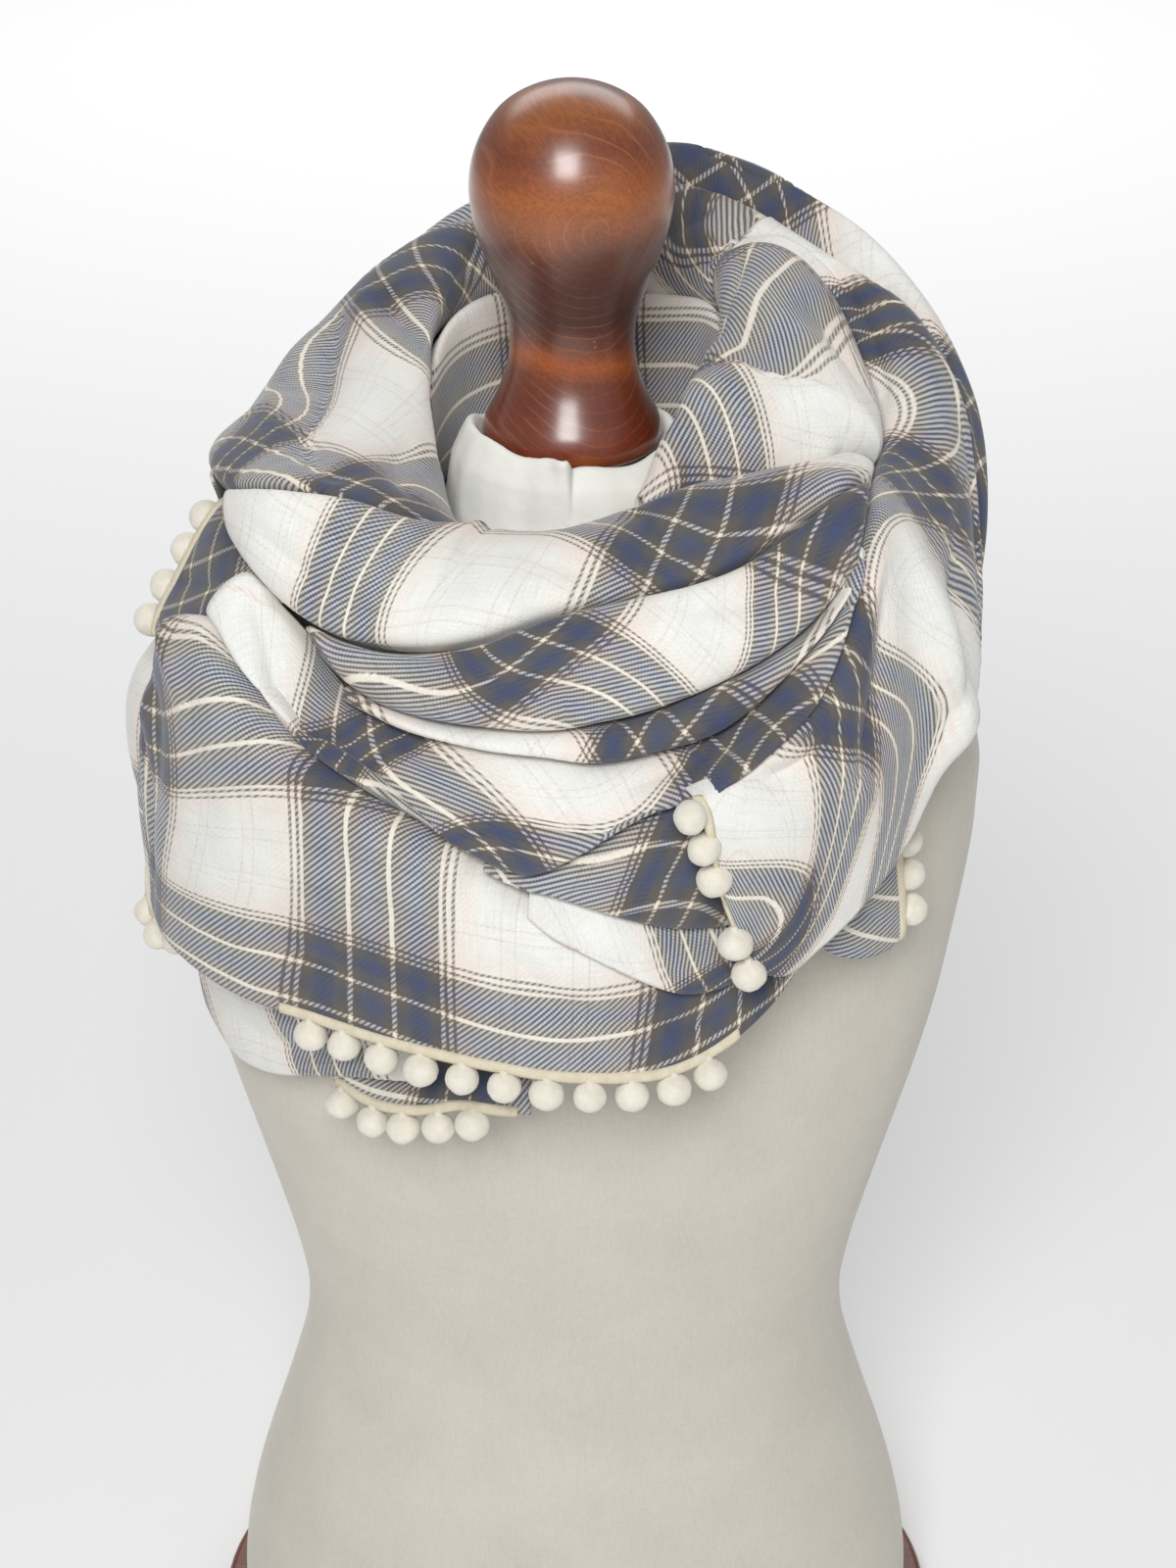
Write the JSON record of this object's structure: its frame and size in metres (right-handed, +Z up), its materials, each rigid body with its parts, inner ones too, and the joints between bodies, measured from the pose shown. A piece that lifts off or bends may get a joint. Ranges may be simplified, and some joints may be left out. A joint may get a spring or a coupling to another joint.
{
  "type": "triangle scarf wound on a limbless dress form",
  "caption": "Soft checked flannel triangle scarf with a pom-pom hem, wound in loose folds round the neck of a limbless dress form with a turned wooden neck knob.",
  "frame": {"origin": "centre of the base plate's underside, which rests on the floor", "axes": "+Z up, -Y the front of the form, +X to the right of someone looking at its front"},
  "size_m": [0.3656, 0.3001, 0.7659],
  "materials": {
    "flannel": "brushed twill, soft and matt, checked",
    "pompom_felt": "fuzzy felt balls on a fine braid",
    "form_jersey": "fine knitted jersey, matt",
    "neck_cotton": "soft brushed cotton, gathered",
    "knob_wood": "turned hardwood under a glossy red-brown varnish",
    "base_wood": "varnished hardwood"
  },
  "bodies": {
    "root": {"front_panel": "flannel", "hanging_back": "flannel", "inner_wrap": "flannel", "left_back": "flannel", "left_loop": "flannel", "left_strip": "flannel", "left_under": "flannel", "lower_roll": "flannel", "middle_roll": "flannel", "narrow_roll": "flannel", "outer_loop": "flannel", "panel_fold": "flannel", "right_loop": "flannel", "right_puff": "flannel", "small_roll": "flannel", "top_roll": "flannel", "under_end": "flannel", "under_fold": "flannel", "hanging_back_trim": "pompom_felt", "hanging_trim": "pompom_felt", "left_under_trim": "pompom_felt", "panel_trim": "pompom_felt", "strip_trim": "pompom_felt", "under_end_trim": "pompom_felt", "torso": "form_jersey", "neck_cover": "neck_cotton", "neck_knob": "knob_wood", "base_plate": "base_wood"}
  },
  "joints": []
}
